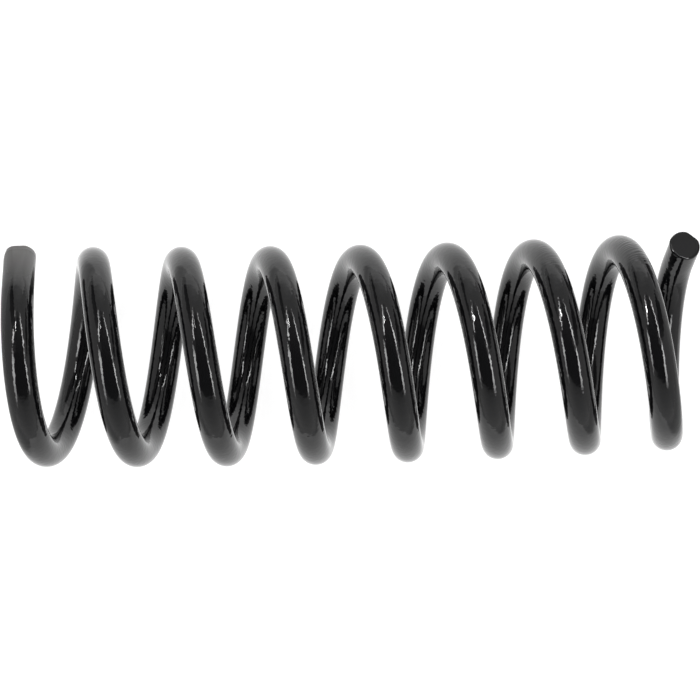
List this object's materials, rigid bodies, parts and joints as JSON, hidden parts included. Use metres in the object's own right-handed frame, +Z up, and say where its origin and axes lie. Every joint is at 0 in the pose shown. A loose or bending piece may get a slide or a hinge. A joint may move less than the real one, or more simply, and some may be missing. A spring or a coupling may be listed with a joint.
{
  "type": "suspension spring",
  "caption": "Helical compression spring of round bar for a vehicle suspension, right-hand wound, with open plain-cut ends and a gloss black coat.",
  "frame": {"origin": "on the surface the spring lies on, under the middle of its bounding box", "axes": "+X along the coil's axis, +Z up from the surface the spring lies on, and both cut ends of the bar on the +Y side of the coil's axis"},
  "size_m": [0.3106, 0.101, 0.1009],
  "materials": {
    "powder_coat": "gloss"
  },
  "bodies": {
    "root": {"coil_spring": "powder_coat"}
  },
  "joints": []
}
